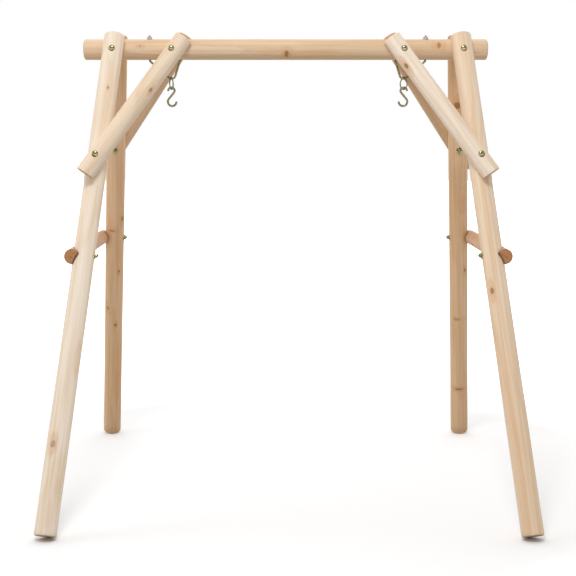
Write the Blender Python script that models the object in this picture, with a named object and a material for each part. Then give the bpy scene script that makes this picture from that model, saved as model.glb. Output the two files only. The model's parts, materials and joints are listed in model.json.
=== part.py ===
"""Wooden swing frame of round logs, in metres, +Z up, front towards -Y.

Two pairs of splayed legs clasp a top beam from the front and from behind.
Four slanted braces stiffen it, and two level rails tie each front leg to
its rear leg. Long carriage bolts hold the logs. A bent steel rod under the
beam on each side carries a loose link, and the link carries an S-hook.
The origin is on the ground, in the middle of the four feet.
"""

from math import asin, atan2, cos, pi, radians, sin, sqrt, tan

import bmesh
import bpy
from mathutils import Matrix, Vector

# Beam
BEAM_LENGTH = 1.620
BEAM_DIAMETER = 0.082
BEAM_HEIGHT = 1.772
BEAM_END_ROUND = 0.008
BEAM_SHIFT = -0.008

# Legs: the overhang is from a leg's axis to the beam's end, the splay is how far a
# foot stands out from there, and the base's depth is between the feet's axes
LEG_DIAMETER = 0.081
BEAM_OVERHANG = 0.116
FRONT_FOOT_SPLAY = 0.176
REAR_FOOT_SPLAY = 0.144
BASE_DEPTH = 1.626
LEG_TOP_LENGTH = 0.058
LEG_END_ROUND = 0.005
LEG_SADDLE_DEPTH = 0.017

# Braces: the inset is from the leg's axis to the brace's, both at beam height, and
# the knee is where a brace crosses its leg.
# Their ends are sawn more upright than square: the lean is the part of the front
# to rear slope that the cut follows.
BRACE_DIAMETER = 0.072
BRACE_INSET = 0.2495
BRACE_BOLT_OFFSET = 0.0155
BRACE_SADDLE_DEPTH = 0.016
KNEE_HEIGHT = 1.362
KNEE_SADDLE_DEPTH = 0.020
FRONT_KNEE_SHIFT = -0.012
REAR_KNEE_SHIFT = 0.010
FRONT_BRACE_TOP_LENGTH = 0.060
REAR_BRACE_TOP_LENGTH = 0.070
BRACE_FOOT_LENGTH = 0.124
BRACE_END_ROUND = 0.004
BRACE_END_LEAN = 0.4

# Side rails
RAIL_DIAMETER = 0.059
RAIL_HEIGHT = 0.980
RAIL_END_LENGTH = 0.040
RAIL_END_ROUND = 0.002
FRONT_RAIL_SADDLE_DEPTH = 0.029
REAR_RAIL_SADDLE_DEPTH = 0.015

# Play of the hollowed seats: their radius is larger than the log's by this much
SADDLE_PLAY = 0.001
RAIL_SADDLE_PLAY = 0.004

# Carriage bolts, washers and nuts
BOLT_DIAMETER = 0.010
HEAD_DIAMETER = 0.0246
HEAD_HEIGHT = 0.0058
WASHER_DIAMETER = 0.028
WASHER_THICKNESS = 0.0025
NUT_ACROSS_FLATS = 0.017
NUT_HEIGHT = 0.008
THREAD_END_LENGTH = 0.004
THREAD_END_CHAMFER = 0.001
SEAT_SINK = 0.0018
SLANTED_SEAT_SINK = 0.005

# Hanger rods: two upright limbs through the beam, one outside and one inside the bolt
# of the braces, joined by a bend below it. The offsets are from that bolt.
ROD_DIAMETER = 0.009
HANGER_OUTER_OFFSET = 0.095
HANGER_INNER_OFFSET = 0.026
HANGER_BEND_OFFSET = 0.009
HANGER_DROP = 0.1165
HANGER_BEND_RADIUS = 0.017
HANGER_SHOULDER_RADIUS = 0.009
HANGER_THREAD_END_LENGTH = 0.006

# Links
LINK_WIRE = 0.0055
LINK_TOP_RADIUS = 0.0140
LINK_BOTTOM_RADIUS = 0.0220
LINK_LENGTH = 0.0495
LEFT_LINK_TURN = 76.0
RIGHT_LINK_TURN = 57.0

# S-hooks
HOOK_WIRE = 0.0090
HOOK_TOP_RADIUS = 0.0130
HOOK_BOTTOM_RADIUS = 0.0175
HOOK_LENGTH = 0.0740
HOOK_OFFSET = 0.0065
HOOK_TOP_TIP_ANGLE = 12.0
HOOK_BOTTOM_TIP_ANGLE = 8.0

# Clearance between touching pieces, and between a link or hook and its seat
GAP = 0.0003
HANG_GAP = 0.0004

# Facets, and the edge angles above which a face is not shaded as round
LOG_SIDES = 28
STEEL_SIDES = 16
NUT_SIDES = 6
WIRE_STEP = radians(15)
WIRE_BEVEL_STEPS = 3
LOG_BEVEL_STEPS = 2
SHARP_ANGLE = radians(40)
NUT_SHARP_ANGLE = radians(25)

# Ways of working: how far drills run out into the air, how many radii a seat's cutter
# runs each way, when two points count as one, and rounds of finding how logs lie
DRILL_OVERRUN = 0.03
SEAT_CUTTER_REACH = 3
SAME_POINT = 1e-6
SETTLING_ROUNDS = 12

# Distances from the middle of the frame, at beam height
LEG_PLACE = BEAM_LENGTH / 2 - BEAM_OVERHANG
BRACE_PLACE = LEG_PLACE - BRACE_INSET
BRACE_BOLT_PLACE = BRACE_PLACE + BRACE_BOLT_OFFSET
HANGER_BEND_PLACE = BRACE_BOLT_PLACE + HANGER_BEND_OFFSET
HANGER_LIMB_PLACES = {"outer": BRACE_BOLT_PLACE + HANGER_OUTER_OFFSET,
                      "inner": BRACE_BOLT_PLACE - HANGER_INNER_OFFSET}

BEAM_R = BEAM_DIAMETER / 2
LEG_R = LEG_DIAMETER / 2
BRACE_R = BRACE_DIAMETER / 2
RAIL_R = RAIL_DIAMETER / 2
BOLT_R = BOLT_DIAMETER / 2
HEAD_R = HEAD_DIAMETER / 2
WASHER_R = WASHER_DIAMETER / 2
ROD_R = ROD_DIAMETER / 2

UP = Vector((0, 0, 1))
SIDES = {"left": -1, "right": 1}
FACES = {"front": -1, "rear": 1}


class Axis:
    """A straight centre line with the radius of its log."""

    def __init__(self, start, end, radius):
        self.start = Vector(start)
        self.end = Vector(end)
        self.radius = radius
        self.direction = (self.end - self.start).normalized()

    def at_height(self, z):
        return self.start + self.direction * (z - self.start.z) / self.direction.z

    def exit_distance(self, point, direction):
        """How far the surface is from a point inside, along a direction."""
        offset = point - self.start
        across = direction - self.direction * direction.dot(self.direction)
        reach = offset - self.direction * offset.dot(self.direction)
        a = across.dot(across)
        b = across.dot(reach)
        c = reach.dot(reach) - self.radius ** 2
        return (-b + sqrt(b * b - a * c)) / a


def clear_scene():
    for item in list(bpy.data.objects):
        bpy.data.objects.remove(item)


def material(name, colour, roughness, metallic):
    made = bpy.data.materials.new(name)
    made.use_nodes = True
    shader = made.node_tree.nodes["Principled BSDF"]
    shader.inputs["Base Color"].default_value = (*colour, 1)
    shader.inputs["Roughness"].default_value = roughness
    shader.inputs["Metallic"].default_value = metallic
    return made


def wood(name, colour=(0.78, 0.60, 0.42)):
    return material(name + "_wood", colour, 0.75, 0.0)


def steel(name, colour=(0.52, 0.47, 0.27)):
    return material(name + "_zinc", colour, 0.42, 0.9)


def placement(point, direction):
    turn = direction.to_track_quat("Z", "Y").to_matrix().to_4x4()
    return Matrix.Translation(point) @ turn


def finish_mesh(name, shape, finish=None):
    mesh = bpy.data.meshes.new(name)
    bmesh.ops.recalc_face_normals(shape, faces=shape.faces)
    shape.to_mesh(mesh)
    shape.free()
    mesh.shade_smooth()
    mesh.set_sharp_from_angle(angle=SHARP_ANGLE)
    made = bpy.data.objects.new(name, mesh)
    bpy.context.collection.objects.link(made)
    if finish:
        mesh.materials.append(finish)
    return made


def turned(name, profile, sides, finish=None):
    """A solid of revolution about Z from (radius, height) points."""
    shape = bmesh.new()
    corners = [shape.verts.new((r, 0, z)) for r, z in profile]
    edges = [shape.edges.new(pair) for pair in zip(corners, corners[1:])]
    if profile[0][0] > 0:
        edges.append(shape.edges.new((corners[-1], corners[0])))
    bmesh.ops.spin(shape, geom=corners + edges, axis=(0, 0, 1), cent=(0, 0, 0),
                   angle=2 * pi, steps=sides, use_merge=True)
    bmesh.ops.remove_doubles(shape, verts=shape.verts, dist=SAME_POINT)
    return finish_mesh(name, shape, finish)


def cylinder_mesh(length, radius, sides):
    shape = bmesh.new()
    bmesh.ops.create_cone(shape, cap_ends=True, segments=sides, radius1=radius,
                          radius2=radius, depth=length)
    bmesh.ops.translate(shape, verts=shape.verts, vec=(0, 0, length / 2))
    return shape


def log(name, axis, end_round, sawn=None):
    """A round log along its axis, with softened end edges.

    sawn is the normal of both end faces; without it they are square to the log.
    """
    shape = cylinder_mesh((axis.end - axis.start).length, axis.radius, LOG_SIDES)
    rims = [edge for edge in shape.edges if edge.calc_length() < axis.radius]
    place = placement(axis.start, axis.direction)
    if sawn:
        face = place.to_3x3().inverted() @ sawn
        for vertex in shape.verts:
            vertex.co.z -= (face.x * vertex.co.x + face.y * vertex.co.y) / face.z
    bmesh.ops.bevel(shape, geom=rims, offset=end_round, offset_type="OFFSET",
                    affect="EDGES", segments=LOG_BEVEL_STEPS, profile=0.5, material=-1)
    made = finish_mesh(name, shape, wood(name))
    made.matrix_world = place
    return made


def cutter(name, start, end, radius, sides):
    made = finish_mesh(name, cylinder_mesh((end - start).length, radius, sides))
    made.matrix_world = placement(start, (end - start).normalized())
    made.hide_render = True
    made.display_type = "WIRE"
    return made


def cut(target, tool):
    step = target.modifiers.new(tool.name, "BOOLEAN")
    step.operation = "DIFFERENCE"
    step.solver = "EXACT"
    step.object = tool


def saddle(target, target_axis, other_axis, crossing, play):
    """Hollows a seat in one log for the log that it lies on."""
    across = target_axis.direction.cross(other_axis.direction).normalized()
    if across.dot(other_axis.start - target_axis.start) < 0:
        across = -across
    reach = (target_axis.radius + other_axis.radius) * SEAT_CUTTER_REACH
    middle = crossing + across * (play - GAP)
    tool = cutter(target.name + "_seat_for_log_" + str(len(target.modifiers)),
                  middle - other_axis.direction * reach,
                  middle + other_axis.direction * reach,
                  other_axis.radius + play, LOG_SIDES)
    cut(target, tool)


def carriage_bolt(name, point, outward, length):
    """A domed head on a round shank; the point is under the head."""
    dome = [(HEAD_R * sin(t), HEAD_HEIGHT * cos(t)) for t in (0, pi / 6, pi / 3, pi / 2)]
    profile = dome + [(BOLT_R, 0), (BOLT_R, THREAD_END_CHAMFER - length),
                      (BOLT_R - THREAD_END_CHAMFER, -length), (0, -length)]
    made = turned(name, profile, STEEL_SIDES, steel(name))
    made.matrix_world = placement(point, outward)
    return made


def washer(name, point, outward, bore_radius):
    profile = [(bore_radius, 0), (WASHER_R, 0), (WASHER_R, WASHER_THICKNESS),
               (bore_radius, WASHER_THICKNESS)]
    made = turned(name, profile, STEEL_SIDES, steel(name))
    made.matrix_world = placement(point, outward)
    return made


def nut(name, point, outward, bore_radius):
    """A hexagon nut: a turned ring of twice its sides, drawn in at each flat."""
    half_side = pi / NUT_SIDES
    corner_radius = NUT_ACROSS_FLATS / 2 / cos(half_side)
    profile = [(bore_radius, 0), (corner_radius, 0), (corner_radius, NUT_HEIGHT),
               (bore_radius, NUT_HEIGHT)]
    made = turned(name, profile, 2 * NUT_SIDES, steel(name))
    for vertex in made.data.vertices:
        x, y, z = vertex.co
        at_flat = round(atan2(y, x) / half_side) % 2
        if at_flat and Vector((x, y)).length > bore_radius + GAP:
            vertex.co = (x * cos(half_side), y * cos(half_side), z)
    made.data.set_sharp_from_angle(angle=NUT_SHARP_ANGLE)
    made.matrix_world = placement(point, outward)
    return made


def bolt_set(name, through, outward, head_log, nut_log, cut_logs, sink):
    """A carriage bolt with washer and nut, and the holes and seats for it.

    through is a point on the bolt's centre line, head_log and nut_log are
    (object, axis) of the logs under the head and under the washer.
    """
    head_seat = through + outward * (head_log[1].exit_distance(through, outward) - sink)
    nut_seat = through - outward * (nut_log[1].exit_distance(through, -outward) - sink)
    run = (head_seat - nut_seat).length
    stack = WASHER_THICKNESS + NUT_HEIGHT + THREAD_END_LENGTH + 3 * GAP
    clear = outward * DRILL_OVERRUN
    bore = cutter(name + "_hole", head_seat + clear, nut_seat - clear, BOLT_R + GAP, STEEL_SIDES)
    for target in cut_logs:
        cut(target, bore)
    cut(head_log[0], cutter(name + "_head_seat", head_seat, head_seat + clear,
                            HEAD_R + GAP, STEEL_SIDES))
    cut(nut_log[0], cutter(name + "_washer_seat", nut_seat, nut_seat - clear,
                           WASHER_R + GAP, STEEL_SIDES))
    carriage_bolt(name, head_seat + outward * GAP, outward, run + GAP + stack)
    washer_face = nut_seat - outward * GAP
    washer(name + "_washer", washer_face, -outward, BOLT_R + GAP)
    nut_face = washer_face - outward * (WASHER_THICKNESS + GAP)
    nut(name + "_nut", nut_face, -outward, BOLT_R + GAP)


def leg_axis(side, face):
    """The leg's centre line: its square-cut lower end just touches the ground."""
    foot_place = LEG_PLACE + (FRONT_FOOT_SPLAY if face < 0 else REAR_FOOT_SPLAY)
    half_depth = BASE_DEPTH / 2
    beam_distance = BEAM_R + LEG_R - LEG_SADDLE_DEPTH
    rise = 0.0
    for _ in range(SETTLING_ROUNDS):
        height = BEAM_HEIGHT - rise
        lean = atan2(half_depth, height) - asin(beam_distance / sqrt(half_depth ** 2 + height ** 2))
        at_beam_y = half_depth - height * tan(lean)
        foot = Vector((side * foot_place, face * half_depth, rise))
        at_beam = Vector((side * LEG_PLACE, face * at_beam_y, BEAM_HEIGHT))
        direction = (at_beam - foot).normalized()
        tilt = direction.angle(UP)
        end_radius = LEG_R - LEG_END_ROUND
        rise = max(end_radius * sin(tilt), LEG_R * sin(tilt) - LEG_END_ROUND * cos(tilt),
                   (end_radius * sin(tilt) - LEG_END_ROUND * cos(tilt)
                    + LEG_END_ROUND))
    return Axis(foot, at_beam + direction * LEG_TOP_LENGTH, LEG_R), at_beam


def brace_axis(side, face, leg):
    """The brace's centre line: it lies on the beam and, lower down, on its leg."""
    beam_distance = BEAM_R + BRACE_R - BRACE_SADDLE_DEPTH
    leg_distance = LEG_R + BRACE_R - KNEE_SADDLE_DEPTH
    shift = FRONT_KNEE_SHIFT if face < 0 else REAR_KNEE_SHIFT
    knee = leg.at_height(KNEE_HEIGHT)
    outer = Vector((0, face, 0))
    at_beam = Vector((side * BRACE_PLACE, face * beam_distance, BEAM_HEIGHT))
    at_leg = knee + outer * leg_distance
    for _ in range(SETTLING_ROUNDS):
        direction = (at_beam - at_leg).normalized()
        across = leg.direction.cross(direction).normalized()
        if across.dot(outer) < 0:
            across = -across
        sideways = leg.direction.cross(across).normalized()
        if sideways.x * side < 0:
            sideways = -sideways
        at_leg = knee + across * leg_distance + sideways * shift
        slope = atan2(abs(at_leg.y - at_beam.y), at_beam.z - at_leg.z)
        at_beam.y = face * beam_distance / cos(slope)
    direction = (at_beam - at_leg).normalized()
    top_length = FRONT_BRACE_TOP_LENGTH if face < 0 else REAR_BRACE_TOP_LENGTH
    axis = Axis(at_leg - direction * BRACE_FOOT_LENGTH, at_beam + direction * top_length,
                BRACE_R)
    return axis, at_beam


def arc(centre, radius, start, end):
    """Points on an arc in the XZ plane; angles from +X, towards +Z."""
    count = max(2, round(abs(end - start) / WIRE_STEP))
    angles = [start + (end - start) * k / count for k in range(count + 1)]
    return [Vector((centre[0] + radius * cos(t), 0, centre[1] + radius * sin(t)))
            for t in angles]


def rounded_path(corners, radii):
    """A path in the XZ plane whose inner corners are rounded to their radii."""
    path = [corners[0]]
    for before, corner, after, radius in zip(corners, corners[1:], corners[2:], radii):
        towards = (before - corner).normalized()
        away = (after - corner).normalized()
        half = towards.angle(away) / 2
        centre = corner + (towards + away).normalized() * radius / sin(half)
        first = corner + towards * radius / tan(half)
        last = corner + away * radius / tan(half)
        start = atan2(first.z - centre.z, first.x - centre.x)
        end = atan2(last.z - centre.z, last.x - centre.x)
        if end - start > pi:
            end -= 2 * pi
        if start - end > pi:
            end += 2 * pi
        path += arc((centre.x, centre.z), radius, start, end)
    return path + [corners[-1]]


def wire(name, points, diameter, closed, finish):
    """A round wire along the points, as a bevelled curve."""
    line = bpy.data.curves.new(name, "CURVE")
    line.dimensions = "3D"
    line.bevel_depth = diameter / 2
    line.bevel_resolution = WIRE_BEVEL_STEPS
    line.use_fill_caps = True
    strand = line.splines.new("POLY")
    strand.points.add(len(points) - 1)
    for target, point in zip(strand.points, points):
        target.co = (*point, 1)
    strand.use_cyclic_u = closed
    strand.use_smooth = True
    line.materials.append(finish)
    made = bpy.data.objects.new(name, line)
    bpy.context.collection.objects.link(made)
    return made


def pivot(name, point, parent=None):
    """An empty on a joint's axis, which carries the piece that swings there."""
    made = bpy.data.objects.new(name, None)
    bpy.context.collection.objects.link(made)
    made.location = point - (parent.location if parent else Vector())
    made.parent = parent
    return made


def link_points():
    """The link's centre line, upright, about the rod that it hangs on."""
    top_centre = ROD_R + HANG_GAP + LINK_WIRE / 2 - LINK_TOP_RADIUS
    bottom_centre = top_centre + LINK_TOP_RADIUS - LINK_LENGTH + LINK_BOTTOM_RADIUS
    run = top_centre - bottom_centre
    side_slope = asin((LINK_BOTTOM_RADIUS - LINK_TOP_RADIUS) / run)
    top = arc((0, top_centre), LINK_TOP_RADIUS, side_slope, pi - side_slope)
    bottom = arc((0, bottom_centre), LINK_BOTTOM_RADIUS, pi - side_slope, 2 * pi + side_slope)
    return top + bottom


def hook_points(side):
    """The S-hook's centre line about the wire that it hangs on, tilted to hang at rest."""
    top_centre = Vector((0, 0, LINK_WIRE / 2 + HANG_GAP + HOOK_WIRE / 2 - HOOK_TOP_RADIUS))
    drop = HOOK_LENGTH - HOOK_TOP_RADIUS - HOOK_BOTTOM_RADIUS
    bottom_centre = top_centre + Vector((HOOK_OFFSET, 0, -drop))
    run = (bottom_centre - top_centre).length
    centre_line = atan2(bottom_centre.z - top_centre.z, bottom_centre.x - top_centre.x)
    leave = centre_line + pi / 2 - asin((HOOK_TOP_RADIUS + HOOK_BOTTOM_RADIUS) / run)
    top = arc((top_centre.x, top_centre.z), HOOK_TOP_RADIUS,
              pi + radians(HOOK_TOP_TIP_ANGLE), leave)
    bottom = arc((bottom_centre.x, bottom_centre.z), HOOK_BOTTOM_RADIUS,
                 leave + pi, 2 * pi + radians(HOOK_BOTTOM_TIP_ANGLE))
    points = top + bottom
    weights = [(b - a).length for a, b in zip(points, points[1:])]
    centre = sum(((a + b) * w / 2 for a, b, w in zip(points, points[1:], weights)), Vector())
    tilt = Matrix.Rotation(atan2(centre.x, -centre.z), 3, "Y")
    hanging = [tilt @ point for point in points]
    return [Vector((-side * point.x, 0, point.z)) for point in hanging]


def tangent_corner(outer, inner, centre, radius):
    """Where two lines meet that run from two points above to a circle's lower side."""
    slopes = []
    for point, turn in ((outer, 1), (inner, -1)):
        towards = centre - point
        lean = asin(radius / towards.length) * turn
        slopes.append(atan2(towards.z, towards.x) + lean)
    first, second = (Vector((cos(slope), 0, sin(slope))) for slope in slopes)
    offset = inner - outer
    reach = (offset.x * second.z - offset.z * second.x) / (first.x * second.z - first.z * second.x)
    return outer + first * reach


def hanger_path(rod_top):
    """The rod's centre line from one threaded end to the other, for the right side."""
    shoulder = BEAM_HEIGHT - BEAM_R - HANGER_SHOULDER_RADIUS / 2
    outer = Vector((HANGER_LIMB_PLACES["outer"], 0, shoulder))
    inner = Vector((HANGER_LIMB_PLACES["inner"], 0, shoulder))
    bend_centre = Vector((HANGER_BEND_PLACE, 0, BEAM_HEIGHT - HANGER_DROP + HANGER_BEND_RADIUS))
    corner = tangent_corner(outer, inner, bend_centre, HANGER_BEND_RADIUS)
    return rounded_path(
        [Vector((outer.x, 0, rod_top)), outer, corner, inner, Vector((inner.x, 0, rod_top))],
        [HANGER_SHOULDER_RADIUS, HANGER_BEND_RADIUS, HANGER_SHOULDER_RADIUS])


def swing_fittings(word, side, beam):
    """The bent hanger rod with its nuts, the link and the S-hook of one side."""
    top = BEAM_HEIGHT + BEAM_R - SEAT_SINK
    stack = WASHER_THICKNESS + NUT_HEIGHT + 3 * GAP
    rod_top = top + stack + HANGER_THREAD_END_LENGTH
    path = [Vector((side * point.x, 0, point.z)) for point in hanger_path(rod_top)]
    wire("hanger_" + word, path, ROD_DIAMETER, False, steel("hanger_" + word))
    for limb, place in HANGER_LIMB_PLACES.items():
        name = "hanger_" + limb
        x = side * place
        foot = Vector((x, 0, BEAM_HEIGHT - BEAM_DIAMETER))
        head = Vector((x, 0, BEAM_HEIGHT + BEAM_DIAMETER))
        cut(beam, cutter(name + "_hole_" + word, foot, head, ROD_R + GAP, STEEL_SIDES))
        seat = Vector((x, 0, top))
        cut(beam, cutter(name + "_seat_" + word, seat, head, WASHER_R + GAP, STEEL_SIDES))
        nut_face = seat + UP * GAP
        if limb == "outer":
            washer(name + "_washer_" + word, nut_face, UP, ROD_R + GAP)
            nut_face += UP * (WASHER_THICKNESS + GAP)
        nut(name + "_nut_" + word, nut_face, UP, ROD_R + GAP)

    rest = Vector((side * HANGER_BEND_PLACE, 0, BEAM_HEIGHT - HANGER_DROP))
    turn = LEFT_LINK_TURN if side < 0 else -RIGHT_LINK_TURN
    link_pivot = pivot("link_pivot_" + word, rest)
    link = wire("link_" + word, link_points(), LINK_WIRE, True, steel("link_" + word))
    link.parent = link_pivot
    link.rotation_euler = (0, 0, radians(turn))
    link_bottom = rest + UP * (ROD_R + HANG_GAP + LINK_WIRE / 2 - LINK_LENGTH)
    hook_pivot = pivot("hook_pivot_" + word, link_bottom, link_pivot)
    hook = wire("s_hook_" + word, hook_points(side), HOOK_WIRE, False, steel("s_hook_" + word))
    hook.parent = hook_pivot


def build():
    clear_scene()
    beam_axis = Axis((BEAM_SHIFT - BEAM_LENGTH / 2, 0, BEAM_HEIGHT),
                     (BEAM_SHIFT + BEAM_LENGTH / 2, 0, BEAM_HEIGHT), BEAM_R)
    beam = log("top_beam", beam_axis, BEAM_END_ROUND)

    for word, side in SIDES.items():
        legs = {}
        braces = {}
        for place, face in FACES.items():
            leg_line, at_beam = leg_axis(side, face)
            leg = log("leg_" + place + "_" + word, leg_line, LEG_END_ROUND)
            saddle(leg, leg_line, beam_axis, Vector((at_beam.x, 0, BEAM_HEIGHT)), SADDLE_PLAY)
            legs[place] = (leg, leg_line)

            brace_line, brace_top = brace_axis(side, face, leg_line)
            sawn = brace_line.direction * Vector((1, BRACE_END_LEAN, 1))
            brace = log("brace_" + place + "_" + word, brace_line, BRACE_END_ROUND, sawn)
            saddle(brace, brace_line, beam_axis, Vector((brace_top.x, 0, BEAM_HEIGHT)),
                   SADDLE_PLAY)
            knee = leg_line.at_height(KNEE_HEIGHT)
            saddle(brace, brace_line, leg_line, knee, SADDLE_PLAY)
            braces[place] = (brace, brace_line)
            bolt_set("knee_bolt_" + place + "_" + word, knee, Vector((0, face, 0)),
                     braces[place], legs[place], (brace, leg), SLANTED_SEAT_SINK)

        middle = Vector((side * LEG_PLACE, 0, BEAM_HEIGHT))
        forward = Vector((0, -1, 0))
        bolt_set("leg_bolt_" + word, middle, forward, legs["front"], legs["rear"],
                 (legs["front"][0], beam, legs["rear"][0]), SLANTED_SEAT_SINK)
        middle = Vector((side * BRACE_BOLT_PLACE, 0, BEAM_HEIGHT))
        bolt_set("brace_bolt_" + word, middle, forward, braces["front"], braces["rear"],
                 (braces["front"][0], beam, braces["rear"][0]), SLANTED_SEAT_SINK)

        rail_points = []
        for place, depth in (("front", FRONT_RAIL_SADDLE_DEPTH), ("rear", REAR_RAIL_SADDLE_DEPTH)):
            crossing = legs[place][1].at_height(RAIL_HEIGHT)
            rail_points.append(crossing + Vector((side * (LEG_R + RAIL_R - depth), 0, 0)))
        along = (rail_points[1] - rail_points[0]).normalized()
        rail_line = Axis(rail_points[0] - along * RAIL_END_LENGTH,
                         rail_points[1] + along * RAIL_END_LENGTH, RAIL_R)
        rail = log("side_rail_" + word, rail_line, RAIL_END_ROUND)
        outward = Vector((side, 0, 0))
        for place in FACES:
            leg, leg_line = legs[place]
            crossing = leg_line.at_height(RAIL_HEIGHT)
            saddle(rail, rail_line, leg_line, crossing, RAIL_SADDLE_PLAY)
            bolt_set("rail_bolt_" + place + "_" + word, crossing, outward, (rail, rail_line),
                     legs[place], (rail, leg), SEAT_SINK)

        swing_fittings(word, side, beam)


build()
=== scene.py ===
# %% [markdown]
# # A wooden swing frame
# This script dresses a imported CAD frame. The frame gives the solids, their names and
# the bodies that move. The script adds wood, zinc-plated steel, light and a camera.
# All lengths are in metres, +Z is up and the front of the frame looks towards -Y.

# %% Load the frame
import json
from math import asin, atan2, cos, pi, radians, sin

import bmesh
import bpy
import numpy as np
from mathutils import Matrix, Vector

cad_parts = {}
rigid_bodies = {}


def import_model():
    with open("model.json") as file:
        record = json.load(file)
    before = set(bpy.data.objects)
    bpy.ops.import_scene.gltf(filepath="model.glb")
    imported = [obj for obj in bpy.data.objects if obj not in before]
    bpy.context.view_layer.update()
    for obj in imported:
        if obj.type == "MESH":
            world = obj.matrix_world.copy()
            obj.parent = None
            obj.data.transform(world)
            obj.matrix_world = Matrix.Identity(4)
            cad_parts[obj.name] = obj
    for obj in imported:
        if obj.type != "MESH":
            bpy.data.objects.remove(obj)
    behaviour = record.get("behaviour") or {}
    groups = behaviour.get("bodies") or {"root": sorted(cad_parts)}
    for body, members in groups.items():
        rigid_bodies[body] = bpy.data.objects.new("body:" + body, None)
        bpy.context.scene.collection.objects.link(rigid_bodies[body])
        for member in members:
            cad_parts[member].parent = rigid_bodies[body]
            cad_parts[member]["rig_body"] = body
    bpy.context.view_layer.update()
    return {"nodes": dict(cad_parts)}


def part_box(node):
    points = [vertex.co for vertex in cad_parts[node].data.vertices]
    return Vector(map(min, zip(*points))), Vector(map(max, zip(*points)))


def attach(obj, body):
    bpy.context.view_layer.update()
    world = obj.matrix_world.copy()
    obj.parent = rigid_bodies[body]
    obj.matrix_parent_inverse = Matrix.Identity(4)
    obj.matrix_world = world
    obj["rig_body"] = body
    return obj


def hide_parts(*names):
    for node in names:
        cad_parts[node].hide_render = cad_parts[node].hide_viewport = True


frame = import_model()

NODES = frame["nodes"]
BODY_OF = {name: item["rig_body"] for name, item in NODES.items()}

# %% [markdown]
# ## Colours and node trees
# Colours are written as they look in the photograph, from 0 to 255, and turned into
# the linear values that a shader wants. `Net` keeps node trees readable: a call adds
# one node, and each input takes a number, a colour or the output of another node.


# %% Helpers for colours and node trees
def colour(red, green, blue):
    """A screen colour as the linear value with alpha that shaders use."""
    parts = [channel / 255 for channel in (red, green, blue)]
    return [p / 12.92 if p < 0.04045 else ((p + 0.055) / 1.055) ** 2.4 for p in parts] + [1]


def tinted(base, red, green, blue):
    """A linear colour with each channel multiplied, kept below white."""
    return [min(part * factor, 0.95) for part, factor in zip(base, (red, green, blue))] + [1]


class Net:
    """Builds one node tree, a node per call."""

    def __init__(self, tree):
        self.tree = tree

    def add(self, kind, *values, out=0, **settings):
        node = self.tree.nodes.new("ShaderNode" + kind)
        for name, value in settings.items():
            setattr(node, name, value)
        for socket, value in zip(node.inputs, values):
            if value is not None:
                self.feed(socket, value)
        return node.outputs[out]

    def feed(self, socket, value):
        if isinstance(value, bpy.types.NodeSocket):
            self.tree.links.new(value, socket)
        else:
            socket.default_value = value

    def maths(self, operation, *values):
        return self.add("Math", *values, operation=operation)

    def vector(self, operation, *values, out=0):
        return self.add("VectorMath", *values, operation=operation, out=out)

    def ramp(self, value, low, high):
        """0 below low, 1 above high, smooth in between."""
        return self.add("MapRange", value, low, high, 0, 1, interpolation_type="SMOOTHSTEP")

    def fall(self, value, low, high):
        """1 below low, 0 above high, smooth in between."""
        return self.maths("SUBTRACT", 1, self.ramp(value, low, high))

    def hump(self, value, low, middle, high):
        """0 below low and above high, 1 in the middle."""
        rise = self.ramp(value, low, middle)
        return self.maths("MULTIPLY", rise, self.fall(value, middle, high))

    def stretched(self, point, across, along):
        """A point with its Z axis scaled apart from the other two."""
        return self.vector("MULTIPLY", point, (across, across, along))

    def mix(self, factor, first, second):
        node = self.tree.nodes.new("ShaderNodeMix")
        node.data_type = "RGBA"
        colours = [s for s in node.inputs if s.type == "RGBA"]
        self.feed(node.inputs[0], factor)
        self.feed(colours[0], first)
        self.feed(colours[1], second)
        return [s for s in node.outputs if s.type == "RGBA"][0]

    def over(self, base, share, mask, paint):
        """Lays a colour over the base where the mask is high, by at most this share."""
        return self.mix(self.maths("MULTIPLY", mask, share), base, paint)

    def noise(self, point, scale, detail=2.0, roughness=0.5):
        node = self.tree.nodes.new("ShaderNodeTexNoise")
        values = {"Vector": point, "Scale": scale, "Detail": detail, "Roughness": roughness}
        for name, value in values.items():
            self.feed(node.inputs[name], value)
        return node.outputs["Fac"]

    def use(self, name, **values):
        """Puts a node group into the tree."""
        node = self.tree.nodes.new("ShaderNodeGroup")
        node.node_tree = bpy.data.node_groups[name]
        for label, value in values.items():
            self.feed(node.inputs[label], value)
        return node.outputs

    def finish(self, base, rough, height, strength, depth, **constants):
        """The Principled shader with bump; constants go on its own sockets."""
        bump = self.tree.nodes.new("ShaderNodeBump")
        bump.inputs["Strength"].default_value = strength
        bump.inputs["Distance"].default_value = depth
        self.feed(bump.inputs["Height"], height)
        skin = self.tree.nodes.new("ShaderNodeBsdfPrincipled")
        self.feed(skin.inputs["Base Color"], base)
        self.feed(skin.inputs["Roughness"], rough)
        self.feed(skin.inputs["Normal"], bump.outputs["Normal"])
        for label, value in constants.items():
            skin.inputs[label.replace("_", " ")].default_value = value
        output = self.tree.nodes.new("ShaderNodeOutputMaterial")
        self.feed(output.inputs["Surface"], skin.outputs["BSDF"])


def new_material(name):
    made = bpy.data.materials.new(name)
    made.use_nodes = True
    made.node_tree.nodes.clear()
    return made, Net(made.node_tree)


def new_group(name, inputs, outputs):
    """An empty node group: its net, the sockets it is given and those it fills."""
    tree = bpy.data.node_groups.new(name, "ShaderNodeTree")
    for label, kind in inputs:
        tree.interface.new_socket(label, in_out="INPUT", socket_type="NodeSocket" + kind)
    for label in outputs:
        tree.interface.new_socket(label, in_out="OUTPUT", socket_type="NodeSocketFloat")
    given = tree.nodes.new("NodeGroupInput").outputs
    return Net(tree), given, tree.nodes.new("NodeGroupOutput").inputs


print("cream wood is", [round(c, 2) for c in colour(233, 214, 190)])

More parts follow.
